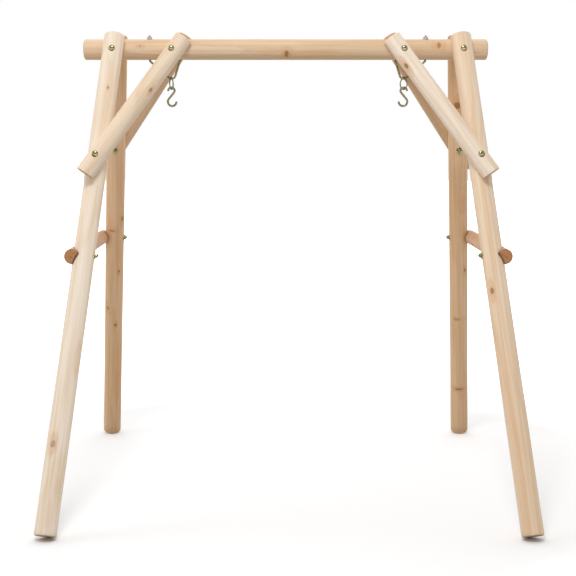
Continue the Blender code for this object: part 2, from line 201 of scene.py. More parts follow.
# %% [markdown]
# ## The camera
# The photograph was taken from 5.2 m in front of the beam and a little above the
# middle, with a longish lens that looks slightly down. The four feet, the beam's ends
# and the bolt heads fix these values: with them, the solids and the photograph's
# outlines lie on each other within about a pixel. The picture's centre line is a
# little off the frame's, which the lens shift takes up.

# %% Camera
IMAGE = 576
FOCAL_PIXELS = 1271.78
CENTRE_COLUMN = 276.02
SENSOR = 36.0
EYE = Vector((-0.0466, -5.2, 1.4614))
LOOK_DOWN = 0.1256

lens = bpy.data.cameras.new("photo_camera")
lens.sensor_width = SENSOR
lens.lens = FOCAL_PIXELS / IMAGE * SENSOR
lens.shift_x = (IMAGE / 2 - CENTRE_COLUMN) / IMAGE
camera = bpy.data.objects.new("photo_camera", lens)
bpy.context.collection.objects.link(camera)
camera.location = EYE
camera.rotation_euler = (pi / 2 - LOOK_DOWN, 0, 0)

scene = bpy.context.scene
scene.camera = camera
scene.view_settings.view_transform = "Standard"
print("lens of", round(lens.lens, 1), "mm")

# %% [markdown]
# ## The white floor
# The frame stands in a white studio, and the floor shows only as contact shadows at
# the feet and faint soft shadows. The camera and reflections see the floor as white,
# with a glow that is stronger towards the back and drowns all shadows further out, so
# that no edge of the floor shows. The light that falls on the wood meets a darker
# floor, which sends back half of it: a white one would light the logs from below.

# %% Floor
WHITE = (1, 1, 1, 1)
FLOOR_SIZE = 60.0
FLOOR_BOUNCE = 0.52
FLOOR_WHITE = 0.94
# The glow at the reach in front of the middle and behind it
FRONT_GLOW = 0.012
REAR_GLOW = 0.15
GLOW_REACH = 0.7
# The glow far out, and the distances from the middle between which it sets in
FAR_GLOW = 1.1
FADE_START = 1.3
FADE_END = 3.0


def seen_directly(net):
    """1 for rays of the camera and of mirrors, 0 for the light that falls on things."""
    path = net.tree.nodes.new("ShaderNodeLightPath").outputs
    seen = net.maths("MAXIMUM", path["Is Camera Ray"], path["Is Glossy Ray"])
    return net.maths("MAXIMUM", seen, path["Is Transmission Ray"])


shape = bmesh.new()
bmesh.ops.create_grid(shape, x_segments=1, y_segments=1, size=FLOOR_SIZE / 2)
floor_mesh = bpy.data.meshes.new("floor")
shape.to_mesh(floor_mesh)
shape.free()
floor = bpy.data.objects.new("floor", floor_mesh)
bpy.context.collection.objects.link(floor)

paint, net = new_material("studio_floor")
seen = seen_directly(net)
place = net.add("TexCoord", out=3)
depth = net.add("SeparateXYZ", place, out=1)
near_glow = net.add("MapRange", depth, -GLOW_REACH, GLOW_REACH, FRONT_GLOW, REAR_GLOW)
distance = net.vector("LENGTH", place, out=1)
far_glow = net.add("MapRange", distance, FADE_START, FADE_END, 0, FAR_GLOW)
glow_power = net.maths("MAXIMUM", near_glow, far_glow)
matt = net.add("BsdfDiffuse", net.add("MapRange", seen, 0, 1, FLOOR_BOUNCE, FLOOR_WHITE))
glow = net.add("Emission", WHITE, net.maths("MULTIPLY", glow_power, seen))
surface = net.add("AddShader", matt, glow)
net.feed(net.tree.nodes.new("ShaderNodeOutputMaterial").inputs[0], surface)
floor_mesh.materials.append(paint)
print("floor of", FLOOR_SIZE, "m")

# %% [markdown]
# ## The room
# The room is brighter behind the frame than in front of it, which gives round logs
# their pale edges. The camera sees it as white. Mirrors see it as white too, but for
# the darker side where the camera stands, so that the steel has something to show.

# %% Room
FRONT_LIGHT = 0.54
BACK_LIGHT = 1.28
LIGHT_BLEND = (-0.2, 0.8)
CAMERA_SIDE = 0.40
MIRROR_BLEND = (-0.9, -0.1)

world = bpy.data.worlds.new("studio")
scene.world = world
world.use_nodes = True
world.node_tree.nodes.clear()
net = Net(world.node_tree)
towards_back = net.add("SeparateXYZ", net.add("TexCoord"), out=1)
room_power = net.add("MapRange", towards_back, *LIGHT_BLEND, FRONT_LIGHT, BACK_LIGHT)
room = net.add("Background", WHITE, room_power)
camera_ray = net.add("LightPath", out=0)
mirrored = net.add("MapRange", towards_back, *MIRROR_BLEND, CAMERA_SIDE, 1.0)
backdrop = net.add("Background", WHITE, net.maths("MAXIMUM", camera_ray, mirrored))
surface = net.add("MixShader", seen_directly(net), room, backdrop)
net.feed(net.tree.nodes.new("ShaderNodeOutputWorld").inputs[0], surface)
print("room of", FRONT_LIGHT, "in front and", BACK_LIGHT, "behind")

# %% [markdown]
# ## Soft boxes
# One large soft box hangs above and in front. It makes the tops of the logs bright,
# the front legs, which lean back, pale, and the rear legs, which lean forward,
# darker. A weaker one on the left draws the pale left edges. The shadows stay soft
# because the boxes are wide.

# %% Soft boxes
BOX_AIM = Vector((0, 0, 1.1))
# name: (place, size, power in watts)
SOFT_BOXES = {
    "soft_box_above": (Vector((-0.5, -3.3, 4.7)), 1.5, 92),
    "soft_box_left": (Vector((-4.2, -0.9, 2.4)), 1.8, 20),
}
for name, (place, size, power) in SOFT_BOXES.items():
    light = bpy.data.lights.new(name, "AREA")
    light.shape = "DISK"
    light.size = size
    light.energy = power
    soft_box = bpy.data.objects.new(name, light)
    bpy.context.collection.objects.link(soft_box)
    soft_box.location = place
    soft_box.rotation_euler = (BOX_AIM - place).to_track_quat("-Z", "Y").to_euler()
print(len(SOFT_BOXES), "soft boxes")

# %% [markdown]
# ## Where each log lies
# The grain has to run along each log, so every log needs its own centre line. The two
# end faces of a solid give it: the long direction of the mesh finds them, and the
# middles of the faces that look that way are the ends of the centre line.

# %% Centre lines of the logs
END_ZONE = 0.035
END_FACING = 0.86


def is_log(name):
    return name == "top_beam" or (
        name.startswith(("leg_", "brace_", "side_rail")) and "bolt" not in name)


def points_of(item):
    return np.array([vertex.co for vertex in item.data.vertices])


def long_direction(points):
    values, vectors = np.linalg.eigh(np.cov((points - points.mean(axis=0)).T))
    return Vector(vectors[:, np.argmax(values)])


def centre_line(item):
    """The middles of a log's two end faces, lower or left end first."""
    points = points_of(item)
    along = long_direction(points)
    reach = points @ np.array(along)
    ends = []
    for sign, limit in ((-1, reach.min()), (1, reach.max())):
        total = Vector()
        area = 0.0
        for face in item.data.polygons:
            near = abs(face.center.dot(along) - limit) < END_ZONE
            if near and face.normal.dot(along) * sign > END_FACING:
                total += face.center * face.area
                area += face.area
        ends.append(total / area)
    ends.sort(key=lambda end: (round(end.z, 2), end.x, end.y))
    return ends


LOGS = {name: item for name, item in NODES.items() if is_log(name)}
LINES = {name: centre_line(item) for name, item in LOGS.items()}


def log_frame(name):
    """The matrix from a log's own space, with Z along it, to the world."""
    start, end = LINES[name]
    turn = (end - start).normalized().to_track_quat("Z", "Y").to_matrix().to_4x4()
    return Matrix.Translation(start) @ turn


def log_radius(name):
    to_log = log_frame(name).inverted()
    return max((to_log @ vertex.co).to_2d().length for vertex in LOGS[name].data.vertices)


for name, (start, end) in LINES.items():
    print(name, round((end - start).length, 3), "m long,", round(log_radius(name), 4), "m radius")

# %% [markdown]
# ## Peeled softwood
# The logs are young spruce or pine, peeled and turned round, and bare of paint. The
# surface cuts the growth rings almost flat, so a ring shows as a long wavy line that
# runs up the log. Between the lines the wood is cream, with warmer and paler bands
# and fine fibres. One solid pattern gives both views: rings around a pith that
# wanders a little from the centre line. The log's side cuts it into flames, and the
# sawn ends cut it into rings. A painted picture would need a seam, a solid needs none.

# %% Growth rings and fibres
RING_WIDTH = 0.0034
PITH_WANDER = 0.026
RING_BEND = 0.0050
RING_WOBBLE = 0.0012
# Where in a ring the dark late wood starts, is darkest and ends
LATE_WOOD = (0.35, 0.90, 1.0)
# How fine each pattern is across the log and along it
WANDER_GRAIN = (5.0, 0.9)
WOBBLE_GRAIN = (38.0, 4.0)
FIBRE_GRAIN = (560.0, 9.0)
BAND_GRAIN = (24.0, 0.9)
STREAK_GRAIN = (110.0, 1.6)

net, given, result = new_group(
    "log_grain", [("Point", "Vector"), ("Bend", "Float"), ("Seed", "Float")],
    ["Line", "Ring", "Fibre", "Band", "Streak"])
point = given["Point"]
shift = net.add("CombineXYZ", given["Seed"], given["Seed"], given["Seed"])
seeded = net.vector("ADD", point, shift)
wander = net.add("TexNoise", net.stretched(seeded, *WANDER_GRAIN), None, 1.0, 2.0, out=1)
wander = net.vector("SUBTRACT", wander, (0.5, 0.5, 0.5))
pith = net.vector("ADD", point, net.vector("MULTIPLY", wander, (PITH_WANDER, PITH_WANDER, 0)))
radius = net.vector("LENGTH", net.stretched(pith, 1, 0), out=1)
radius = net.maths("ADD", radius, net.maths("MULTIPLY", given["Bend"], RING_BEND))
wobble = net.noise(net.stretched(seeded, *WOBBLE_GRAIN), 1.0)
radius = net.maths("ADD", radius, net.maths("MULTIPLY", wobble, RING_WOBBLE))
ring = net.maths("FRACT", net.maths("DIVIDE", radius, RING_WIDTH))
net.feed(result["Ring"], ring)
net.feed(result["Line"], net.hump(ring, *LATE_WOOD))
net.feed(result["Fibre"], net.noise(net.stretched(seeded, *FIBRE_GRAIN), 1.0, 3.0, 0.6))
net.feed(result["Band"], net.noise(net.stretched(seeded, *BAND_GRAIN), 1.0))
net.feed(result["Streak"], net.noise(net.stretched(seeded, *STREAK_GRAIN), 1.0, 3.0, 0.55))
print("rings are", RING_WIDTH * 1000, "mm apart")

# %% [markdown]
# ## Knots
# A knot is the foot of a branch: a brown oval, a little longer along the log, with a
# darker rim and a warm halo where the grain swings around it. Each group marks one
# knot, on the side of the log where the branch grew, and its halo bends the rings.
# Depth says how dark it is: below about 0.3 no knot is left, only a warm patch or
# streak of resin. Squash makes a mark shorter along the log, or longer where it's
# below 1. Where a ring of small branches grew, a thin scar runs round the log.

# %% One knot
# Where the parts of a knot fade, in sizes of the knot from its middle
CORE_FADE = (0.45, 1.20)
RIM_HUMP = (0.45, 0.85, 1.35)
HALO_FADE = (0.5, 3.0)
HALO_LENGTH = 0.5
RAGGED_GRAIN = (90.0, 45.0)
# The depths between which a mark turns from a warm patch to a dark knot
DARK_DEPTHS = (0.20, 0.50)

net, given, result = new_group(
    "log_knot", [("Point", "Vector"), ("Middle", "Vector"), ("Size", "Float"),
                 ("Depth", "Float"), ("Squash", "Float")], ["Core", "Rim", "Halo"])
ragged = net.noise(net.stretched(given["Point"], *RAGGED_GRAIN), 1.0)
ragged = net.maths("ADD", net.maths("MULTIPLY", ragged, 0.8), 0.6)
away = net.vector("SUBTRACT", given["Point"], given["Middle"])
away = net.vector("MULTIPLY", away, net.add("CombineXYZ", 1, 1, given["Squash"]))
near = net.maths("DIVIDE", net.vector("LENGTH", away, out=1), given["Size"])
near = net.maths("MULTIPLY", near, ragged)
far = net.vector("LENGTH", net.stretched(away, 1, HALO_LENGTH), out=1)
far = net.maths("DIVIDE", far, given["Size"])
dark = net.maths("MULTIPLY", net.ramp(given["Depth"], *DARK_DEPTHS), given["Depth"])
net.feed(result["Core"], net.maths("MULTIPLY", net.fall(near, *CORE_FADE), dark))
net.feed(result["Rim"], net.maths("MULTIPLY", net.hump(near, *RIM_HUMP), dark))
warmth = net.maths("ADD", net.maths("MULTIPLY", given["Depth"], 0.6), 0.4)
net.feed(result["Halo"], net.maths("MULTIPLY", net.fall(far, *HALO_FADE), warmth))
print("patterns:", [g.name for g in bpy.data.node_groups])

# %% [markdown]
# ## Where the knots are
# Knots stand where the photograph shows them: a pixel gives a ray from the eye, and
# the ray meets the round log. The sides that the photograph hides get knots too, at
# chosen turns around the log, so that the frame isn't bare from behind.

# %% Knots
KNOT_SQUASH = 0.66
# log: (column, row, size across the log in metres, depth, squash)
SEEN_MARKS = {
    "top_beam": [(140, 46, 0.005, 0.45, 1.0), (439, 45, 0.012, 0.75, 1.8),
                 (286.5, 54, 0.014, 0.95, 1.9), (268, 52, 0.008, 0.2, 0.5),
                 (318, 54, 0.010, 0.2, 0.4)],
    "leg_front_left": [(108, 87.5, 0.004, 0.8, 0.7), (52.7, 444, 0.0095, 0.6, 0.8),
                       (59, 468, 0.007, 0.2, 0.4), (57.5, 486, 0.010, 0.3, 0.35),
                       (50, 513, 0.009, 0.2, 0.4), (78, 359, 0.007, 0.1, 0.4)],
    "leg_front_right": [(492, 291, 0.008, 0.9, 0.7), (526, 510, 0.020, 0.1, 0.12)],
    "leg_rear_left": [(119, 271.5, 0.0045, 1.0, 0.7), (115.5, 325, 0.0055, 0.95, 0.8),
                      (107.5, 308, 0.009, 0.5, 1.0), (122.5, 219, 0.007, 0.8, 0.7),
                      (112, 231, 0.014, 0.5, 3.5), (117, 380, 0.009, 0.3, 0.15)],
    "leg_rear_right": [(457.6, 105.5, 0.014, 1.0, 1.1), (465, 270, 0.0055, 0.8, 0.7),
                       (457, 319.5, 0.016, 0.45, 3.5), (459, 389.5, 0.018, 0.85, 3.5),
                       (463, 202, 0.010, 0.3, 0.7)],
    "brace_front_left": [(151, 90, 0.007, 0.75, 0.7)],
    "brace_front_right": [(406, 66, 0.008, 1.0, 0.7)],
}
# log: (height along the log, turn in degrees from the side that looks away from the
# camera, size in metres, depth)
HIDDEN_KNOTS = {
    "top_beam": [(0.35, -30, 0.007, 0.7), (0.62, 25, 0.005, 0.8), (1.20, 5, 0.009, 0.6)],
    "leg_front_left": [(0.50, 10, 0.008, 0.8), (1.25, -40, 0.009, 0.6)],
    "leg_front_right": [(0.62, -25, 0.009, 0.7), (1.45, 30, 0.007, 0.8)],
    "leg_rear_left": [(0.40, 20, 0.009, 0.8), (1.10, -35, 0.007, 0.7)],
    "leg_rear_right": [(0.90, 0, 0.008, 0.7), (1.30, 50, 0.006, 0.9)],
    "brace_front_left": [(0.20, 20, 0.006, 0.7)],
    "brace_front_right": [(0.42, -15, 0.006, 0.7)],
    "brace_rear_left": [(0.30, 10, 0.007, 0.8), (0.12, -30, 0.005, 0.7)],
    "brace_rear_right": [(0.40, 35, 0.007, 0.8)],
    "side_rail_left": [(0.25, 50, 0.006, 0.8), (0.62, -60, 0.007, 0.7)],
    "side_rail_right": [(0.33, -70, 0.006, 0.8), (0.70, 40, 0.006, 0.7)],
}


def pixel_ray(column, row):
    """The direction from the eye through a point of the photograph."""
    ahead = Vector((0, cos(LOOK_DOWN), -sin(LOOK_DOWN)))
    above = Vector((0, sin(LOOK_DOWN), cos(LOOK_DOWN)))
    across = Vector(((column - CENTRE_COLUMN) / FOCAL_PIXELS, 0, 0))
    return ahead + across + above * ((IMAGE / 2 - row) / FOCAL_PIXELS)


def knot_from_pixel(name, column, row):
    """Where the ray through a pixel first meets the log, in the log's own space."""
    to_log = log_frame(name).inverted()
    eye = to_log @ EYE
    ray = to_log.to_3x3() @ pixel_ray(column, row)
    a = ray.x ** 2 + ray.y ** 2
    b = eye.x * ray.x + eye.y * ray.y
    c = eye.x ** 2 + eye.y ** 2 - log_radius(name) ** 2
    return eye + ray * ((-b - max(b * b - a * c, 0.0) ** 0.5) / a)


def hidden_knot(name, height, turn):
    """A point on the log's surface, turned from the side away from the camera."""
    eye = log_frame(name).inverted() @ EYE
    angle = atan2(-eye.y, -eye.x) + radians(turn)
    return Vector((log_radius(name) * cos(angle), log_radius(name) * sin(angle), height))


def knots_of(name):
    """Middle, size, depth and squash of every mark of a log."""
    found = [(knot_from_pixel(name, column, row), size, depth, squash)
             for column, row, size, depth, squash in SEEN_MARKS.get(name, [])]
    found += [(hidden_knot(name, height, turn), size, depth, KNOT_SQUASH)
              for height, turn, size, depth in HIDDEN_KNOTS.get(name, [])]
    return found


print(sum(len(knots_of(name)) for name in LOGS), "knots and other marks")

# %% [markdown]
# ## Sawn ends
# A saw leaves end grain: the rings, darker than the side because the open pores drink
# light, and a few cracks that run out from the pith as the log dries. The cracks are
# spokes at even turns, bent by noise and kept only where a second noise is high.

# %% End grain
CRACK_COUNT = 7.0
CRACK_BEND = 0.35
CRACK_EDGE = (0.0003, 0.0009)
CRACK_PATCH = (0.48, 0.60)

net, given, result = new_group(
    "sawn_end", [("Point", "Vector"), ("Ring", "Float"), ("Seed", "Float")], ["Ring", "Crack"])
flat_x = net.add("SeparateXYZ", given["Point"])
flat_y = flat_x.node.outputs[1]
turn = net.maths("ARCTAN2", flat_y, flat_x)
turn = net.maths("ADD", net.maths("MULTIPLY", turn, CRACK_COUNT / (2 * pi)), given["Seed"])
bent = net.noise(net.stretched(given["Point"], 60.0, 10.0), 1.0)
turn = net.maths("ADD", turn, net.maths("MULTIPLY", bent, CRACK_BEND))
off_crack = net.maths("ABSOLUTE", net.maths("SUBTRACT", net.maths("FRACT", turn), 0.5))
out = net.vector("LENGTH", net.stretched(given["Point"], 1, 0), out=1)
thin = net.fall(net.maths("MULTIPLY", off_crack, out), *CRACK_EDGE)
some = net.ramp(net.noise(net.stretched(given["Point"], 70.0, 0.0), 1.0), *CRACK_PATCH)
net.feed(result["Crack"], net.maths("MULTIPLY", thin, some))
net.feed(result["Ring"], net.maths("POWER", given["Ring"], 2.0))
print("up to", int(CRACK_COUNT), "cracks in a sawn end")

# %% [markdown]
# ## The side of a log
# Each log has a tone of its own, partly its wood and partly painted shade: the front
# legs are palest, the beam is warmer and the rails reddish, and the rear legs and rear
# braces, which stand in more shade, are tanner and darker. Pale and warm bands, ring
# lines, streaks and fibres lie over the tone, with pale bluish streaks of painted
# sheen, and the knots over all of them. Each layer but the knots is the tone times a
# tint, so one set of tints fits every log.

# %% Tones and layers of the side
# Each log's wood colour, with painted shade in the darker, tanner rear legs and rear braces
TONES = {
    "top_beam": (230, 203, 172),
    "leg_front_left": (243, 227, 207),
    "leg_front_right": (240, 217, 190),
    "leg_rear_left": (236, 200, 161),
    "leg_rear_right": (236, 200, 161),
    "brace_front_left": (237, 218, 195),
    "brace_front_right": (240, 225, 206),
    "brace_rear_left": (228, 196, 160),
    "brace_rear_right": (228, 196, 160),
    "side_rail_left": (218, 178, 142),
    "side_rail_right": (218, 178, 142),
}
PALE_BAND = (1.05, 1.06, 1.08)
WARM_BAND = (0.97, 0.92, 0.86)
BAND_FADE = (0.30, 0.70)
# layer: (largest share, tint)
LAYERS = {"line": (0.30, (0.80, 0.64, 0.46)), "streak": (0.50, (0.86, 0.74, 0.60)),
          "painted_sheen": (0.45, (1.10, 1.14, 1.20)), "fibre": (0.20, (0.76, 0.62, 0.48))}
STREAK_FADE = (0.46, 0.70)
# Where the painted sheen shows: pale bluish streaks that are a painted highlight
PAINTED_SHEEN_FADE = (0.30, 0.48)
FIBRE_FADE = (0.45, 0.80)
KNOT_BROWN = colour(148, 84, 34)
KNOT_RIM = colour(106, 58, 24)
KNOT_AMBER = colour(212, 148, 80)


def knot_marks(net, name, point):
    """Core, rim and halo of all the knots of a log."""
    core = rim = halo = 0.0
    for middle, size, depth, squash in knots_of(name):
        knot = net.use("log_knot", Point=point, Middle=middle, Size=size, Depth=depth,
                       Squash=squash)
        core = net.maths("MAXIMUM", core, knot["Core"])
        rim = net.maths("MAXIMUM", rim, knot["Rim"])
        halo = net.maths("MAXIMUM", halo, knot["Halo"])
    return core, rim, halo


def side_colour(net, tone, grain, core, rim, halo):
    """The peeled side of a log."""
    base = net.mix(net.ramp(grain["Band"], *BAND_FADE), tinted(tone, *PALE_BAND),
                   tinted(tone, *WARM_BAND))
    masks = {"line": grain["Line"],
             "streak": net.ramp(grain["Streak"], *STREAK_FADE),
             # Painted sheen: a pale bluish highlight along the streaks
             "painted_sheen": net.fall(grain["Streak"], *PAINTED_SHEEN_FADE),
             "fibre": net.ramp(grain["Fibre"], *FIBRE_FADE)}
    for layer, (share, tint) in LAYERS.items():
        base = net.over(base, share, masks[layer], tinted(tone, *tint))
    base = net.over(base, 0.45, halo, KNOT_AMBER)
    base = net.over(base, 0.75, core, KNOT_BROWN)
    return net.over(base, 0.45, rim, KNOT_RIM)


print(len(TONES), "tones,", len(LAYERS), "layers")

# %% [markdown]
# ## Ends, seat shade and dirt
# A sawn end takes the rings and cracks of the pattern above, with a darker rim, as the
# photograph shows it. Where a leg lies on a rail the seat is painted dark, as shade
# with a little grime in the crevice, and the feet are a little dusty. Distances place
# these marks: the one from a leg's centre line, and the height above the floor.

# %% Colours of ends, seat shade and dirt
SAWN_SHADE = 0.82
SAWN_EARLY = (1.0, 0.78, 0.57)
SAWN_LATE = (0.62, 0.42, 0.28)
CRACK_BROWN = colour(58, 38, 24)
# The rim of an end: its reach in radii of the log, its share and its colour
SAWN_RIM_REACH = (0.75, 1.05)
SAWN_RIM = 0.45
SAWN_RIM_BROWN = colour(92, 58, 34)
# Painted shade, with a little grime, in the seat where a rail lies against a leg
SEAT_SHADE_AND_DIRT_REACH = (0.001, 0.009)
SEAT_SHADE_AND_DIRT = 0.75
SEAT_SHADE_BROWN = colour(52, 32, 18)
FOOT_DIRT_REACH = (0.004, 0.05)
FOOT_DIRT = 0.5
DUST = colour(150, 128, 102)


def sawn_colour(net, name, tone, point, ring, seed):
    """The end grain of a log."""
    sawn = net.use("sawn_end", Point=point, Ring=ring, Seed=seed)
    early = tinted(tone, *[part * SAWN_SHADE for part in SAWN_EARLY])
    late = tinted(tone, *[part * SAWN_SHADE for part in SAWN_LATE])
    base = net.mix(sawn["Crack"], net.mix(sawn["Ring"], early, late), CRACK_BROWN)
    out = net.vector("LENGTH", net.stretched(point, 1, 0), out=1)
    low, high = [part * log_radius(name) for part in SAWN_RIM_REACH]
    return net.over(base, SAWN_RIM, net.ramp(out, low, high), SAWN_RIM_BROWN)


def legs_on(name):
    """The legs that a side rail lies against; none for the other logs."""
    side = name.removeprefix("side_rail_")
    return [] if side == name else ["leg_front_" + side, "leg_rear_" + side]


def shaded_and_soiled(net, name, base, here):
    """The colour with painted shade and a little grime in the rails' seats, and dust near the
    floor.
    """
    for leg in legs_on(name):
        start, end = LINES[leg]
        off_axis = net.vector("CROSS_PRODUCT", net.vector("SUBTRACT", here, start),
                              (end - start).normalized())
        seat = net.maths("SUBTRACT", net.vector("LENGTH", off_axis, out=1), log_radius(leg))
        # Painted shade and a little grime in the crevice along the leg
        base = net.over(base, SEAT_SHADE_AND_DIRT, net.fall(seat, *SEAT_SHADE_AND_DIRT_REACH), SEAT_SHADE_BROWN)
    height = net.add("SeparateXYZ", here, out=2)
    dust = net.maths("MULTIPLY", net.fall(height, *FOOT_DIRT_REACH), net.noise(here, 90.0, 3.0))
    return net.over(base, FOOT_DIRT, dust, DUST)


print("dark seats on", [name for name in LOGS if legs_on(name)])

# %% [markdown]
# ## The finish of a log
# The material's Mapping node turns the log's centre line into its own Z axis, so the
# grain runs with the log whatever its slope. Faces that look along the log are its
# sawn ends. Peeled wood is dull, its fibres stand out a little, and a knot's rim lies
# lower than the wood around it.

# %% Wood on every log
END_FACE = (0.70, 0.90)
SEED_STEP = 3.7


def wood(name, seed):
    """The material of one log."""
    tone = colour(*TONES[name])[:3]
    made, net = new_material(name + "_wood")
    place = log_frame(name)
    here = net.add("TexCoord", out=3)
    point = net.add("Mapping", here, place.translation, place.to_euler(), vector_type="TEXTURE")
    core, rim, halo = knot_marks(net, name, point)
    grain = net.use("log_grain", Point=point, Bend=halo, Seed=seed)
    side = side_colour(net, tone, grain, core, rim, halo)

    axis = (LINES[name][1] - LINES[name][0]).normalized()
    facing = net.vector("DOT_PRODUCT", net.add("NewGeometry", out=1), axis, out=1)
    end_face = net.ramp(net.maths("ABSOLUTE", facing), *END_FACE)
    sawn = sawn_colour(net, name, tone, point, grain["Ring"], seed)
    base = shaded_and_soiled(net, name, net.mix(end_face, side, sawn), here)

    rough = net.maths("ADD", net.maths("MULTIPLY", grain["Fibre"], 0.20), 0.55)
    rough = net.maths("ADD", rough, net.maths("MULTIPLY", end_face, 0.15))
    height = net.maths("ADD", net.maths("MULTIPLY", grain["Fibre"], 0.5),
                       net.maths("MULTIPLY", grain["Line"], 0.4))
    height = net.maths("ADD", height, net.maths("MULTIPLY", grain["Streak"], 1.2))
    height = net.maths("SUBTRACT", height, net.maths("MULTIPLY", rim, 0.8))
    net.finish(base, rough, height, 0.30, 0.0012, Specular_IOR_Level=0.28)
    return made


for number, name in enumerate(sorted(LOGS)):
    LOGS[name].data.materials.clear()
    LOGS[name].data.materials.append(wood(name, SEED_STEP * number))
print("wood on", len(LOGS), "logs")

# %% [markdown]
# ## Yellow zinc
# The bolts, rods and hooks are steel with a thin yellow zinc coat. It is cloudy,
# greener or pinker from place to place, with dark grime and bright spots where the
# coat has worn off. A value kept on each piece's vertices says where pieces rub or a
# tool has bitten, and below zero where painted shade darkens the rims of the bolt heads.

# %% Zinc pattern
net, given, result = new_group("zinc_coat", [("Point", "Vector"), ("Worn", "Float")],
                               ["Cloud", "GrimeAndShade", "Bare"])
net.feed(result["Cloud"], net.ramp(net.noise(given["Point"], 95.0, 2.0, 0.5), 0.35, 0.66))
grime = net.noise(given["Point"], 430.0, 4.0, 0.7)
# Below zero the vertex value is painted shade, the dark rims of the bolt heads, laid in with the
# grime
painted_rim_shade = net.maths("MULTIPLY", net.maths("MINIMUM", given["Worn"], 0), -1)
net.feed(result["GrimeAndShade"], net.maths("MAXIMUM", net.ramp(grime, 0.50, 0.78), painted_rim_shade))
patchy = net.maths("ADD", given["Worn"], net.maths("MULTIPLY", grime, 0.5))
net.feed(result["Bare"], net.ramp(patchy, 0.75, 1.15))
print("patterns:", [g.name for g in bpy.data.node_groups])

# %% [markdown]
# ## Three tones of zinc
# The carriage bolts have the yellowest coat, the hanger's nuts are pinker, and the
# wire of rods, links and hooks is darker. Light that grazes the steel is tinted too,
# because a plain metal turns white at its edges and is lost on the white ground.

# %% Zinc materials
GRIME_AND_SHADE_BROWN = colour(62, 56, 40)
BARE_STEEL = colour(206, 204, 198)
EDGE_TINT = (0.40, 0.38, 0.30, 1)


def zinc(name, main, other, dull):
    """A coat that clouds between two colours; dull is its roughness."""
    made, net = new_material(name)
    here = net.add("TexCoord", out=3)
    wear_and_shade = net.add("Attribute", attribute_name="wear_and_shade", out=2)
    coat = net.use("zinc_coat", Point=here, Worn=wear_and_shade)
    base = net.mix(coat["Cloud"], colour(*main), colour(*other))
    # Grime from noise, and painted shade at the rims of the bolt heads
    base = net.over(base, 0.55, coat["GrimeAndShade"], GRIME_AND_SHADE_BROWN)
    base = net.over(base, 0.6, coat["Bare"], BARE_STEEL)
    rough = net.maths("ADD", dull, net.maths("MULTIPLY", coat["GrimeAndShade"], 0.18))
    net.finish(base, rough, coat["GrimeAndShade"], 0.20, 0.0002, Metallic=0.85,
               Specular_Tint=EDGE_TINT)
    return made


BOLT_ZINC = zinc("bolt_zinc", (170, 162, 118), (138, 130, 94), 0.24)
NUT_ZINC = zinc("hanger_nut_zinc", (232, 212, 206), (208, 186, 180), 0.30)
HOOK_ZINC = zinc("hook_zinc", (150, 144, 112), (122, 116, 86), 0.32)
print("zinc:", [m.name for m in (BOLT_ZINC, NUT_ZINC, HOOK_ZINC)])

# %% [markdown]
# ## Measuring the fasteners
# The CAD fasteners are plain: few facets, no thread. Finer ones take their places.
# Each is a ring or a rod that is round about its axis, so the mean of its points lies
# on the axis, and the distances along and across the axis give all its sizes.


# %% Measure a round piece
class Round:
    """The axis, reach and radii of a round CAD piece."""

    def __init__(self, name, axis):
        points = points_of(NODES[name])
        self.axis = Vector(axis).normalized()
        self.middle = Vector(points.mean(axis=0))
        offsets = points - np.array(self.middle)
        self.along = offsets @ np.array(self.axis)
        self.across = np.linalg.norm(offsets - np.outer(self.along, self.axis), axis=1)
        self.low = self.along.min()
        self.high = self.along.max()
        self.outer = self.across.max()
        self.bore = self.across.min()

    def place(self, height):
        """The matrix that puts a piece modelled about Z at this height on the axis."""
        turn = self.axis.to_track_quat("Z", "Y").to_matrix().to_4x4()
        return Matrix.Translation(self.middle + self.axis * height) @ turn


def bolt_axis(name):
    """The direction of a bolt from its threaded end to its head."""
    direction = long_direction(points_of(NODES[name]))
    piece = Round(name, direction)
    head = piece.along[np.argmax(piece.across)]
    return direction if head > 0 else -direction


BOLTS = {name: bolt_axis(name) for name in NODES
         if "bolt" in name and not name.endswith(("washer", "nut"))}
print(len(BOLTS), "bolts")

# %% [markdown]
# ## Spinning and threads
# Bolts, washers and nuts are turned or rolled, so an outline spun about the axis gives
# each of them. A thread is a helix: each vertex of the shank is pressed inwards by how
# far along the helix it lies. That needs no new faces, where a cut with a helical
# cutter would leave ragged ones.

# %% Spinning and threads
ROUND_STEPS = 36
THREAD_PITCH = 0.0015
THREAD_DEPTH = 0.0008
THREAD_STEP = THREAD_PITCH / 4
SAME_POINT = 1e-7


def spun(outline, steps=ROUND_STEPS):
    """A bmesh of an open or closed outline of (radius, height) turned about Z."""
    shape = bmesh.new()
    corners = [shape.verts.new((r, 0, z)) for r, z in outline]
    edges = [shape.edges.new(pair) for pair in zip(corners, corners[1:])]
    if outline[0][0] > 0:
        edges.append(shape.edges.new((corners[-1], corners[0])))
    bmesh.ops.spin(shape, geom=corners + edges, axis=(0, 0, 1), cent=(0, 0, 0),
                   angle=2 * pi, steps=steps, use_merge=True)
    bmesh.ops.remove_doubles(shape, verts=shape.verts, dist=SAME_POINT)
    bmesh.ops.recalc_face_normals(shape, faces=shape.faces)
    return shape


def press_thread(shape, radius, low, high):
    """Presses a helical groove into the shank between two heights."""
    for vertex in shape.verts:
        x, y, z = vertex.co
        if low < z < high and abs(Vector((x, y)).length - radius) < THREAD_DEPTH / 4:
            phase = (z / THREAD_PITCH - atan2(y, x) / (2 * pi)) % 1
            groove = 1 - abs(2 * phase - 1)
            scale = 1 - THREAD_DEPTH / radius * groove
            vertex.co.x *= scale
            vertex.co.y *= scale


def thread_heights(low, high):
    count = max(int((high - low) / THREAD_STEP), 1)
    return [low + (high - low) * step / count for step in range(count + 1)]


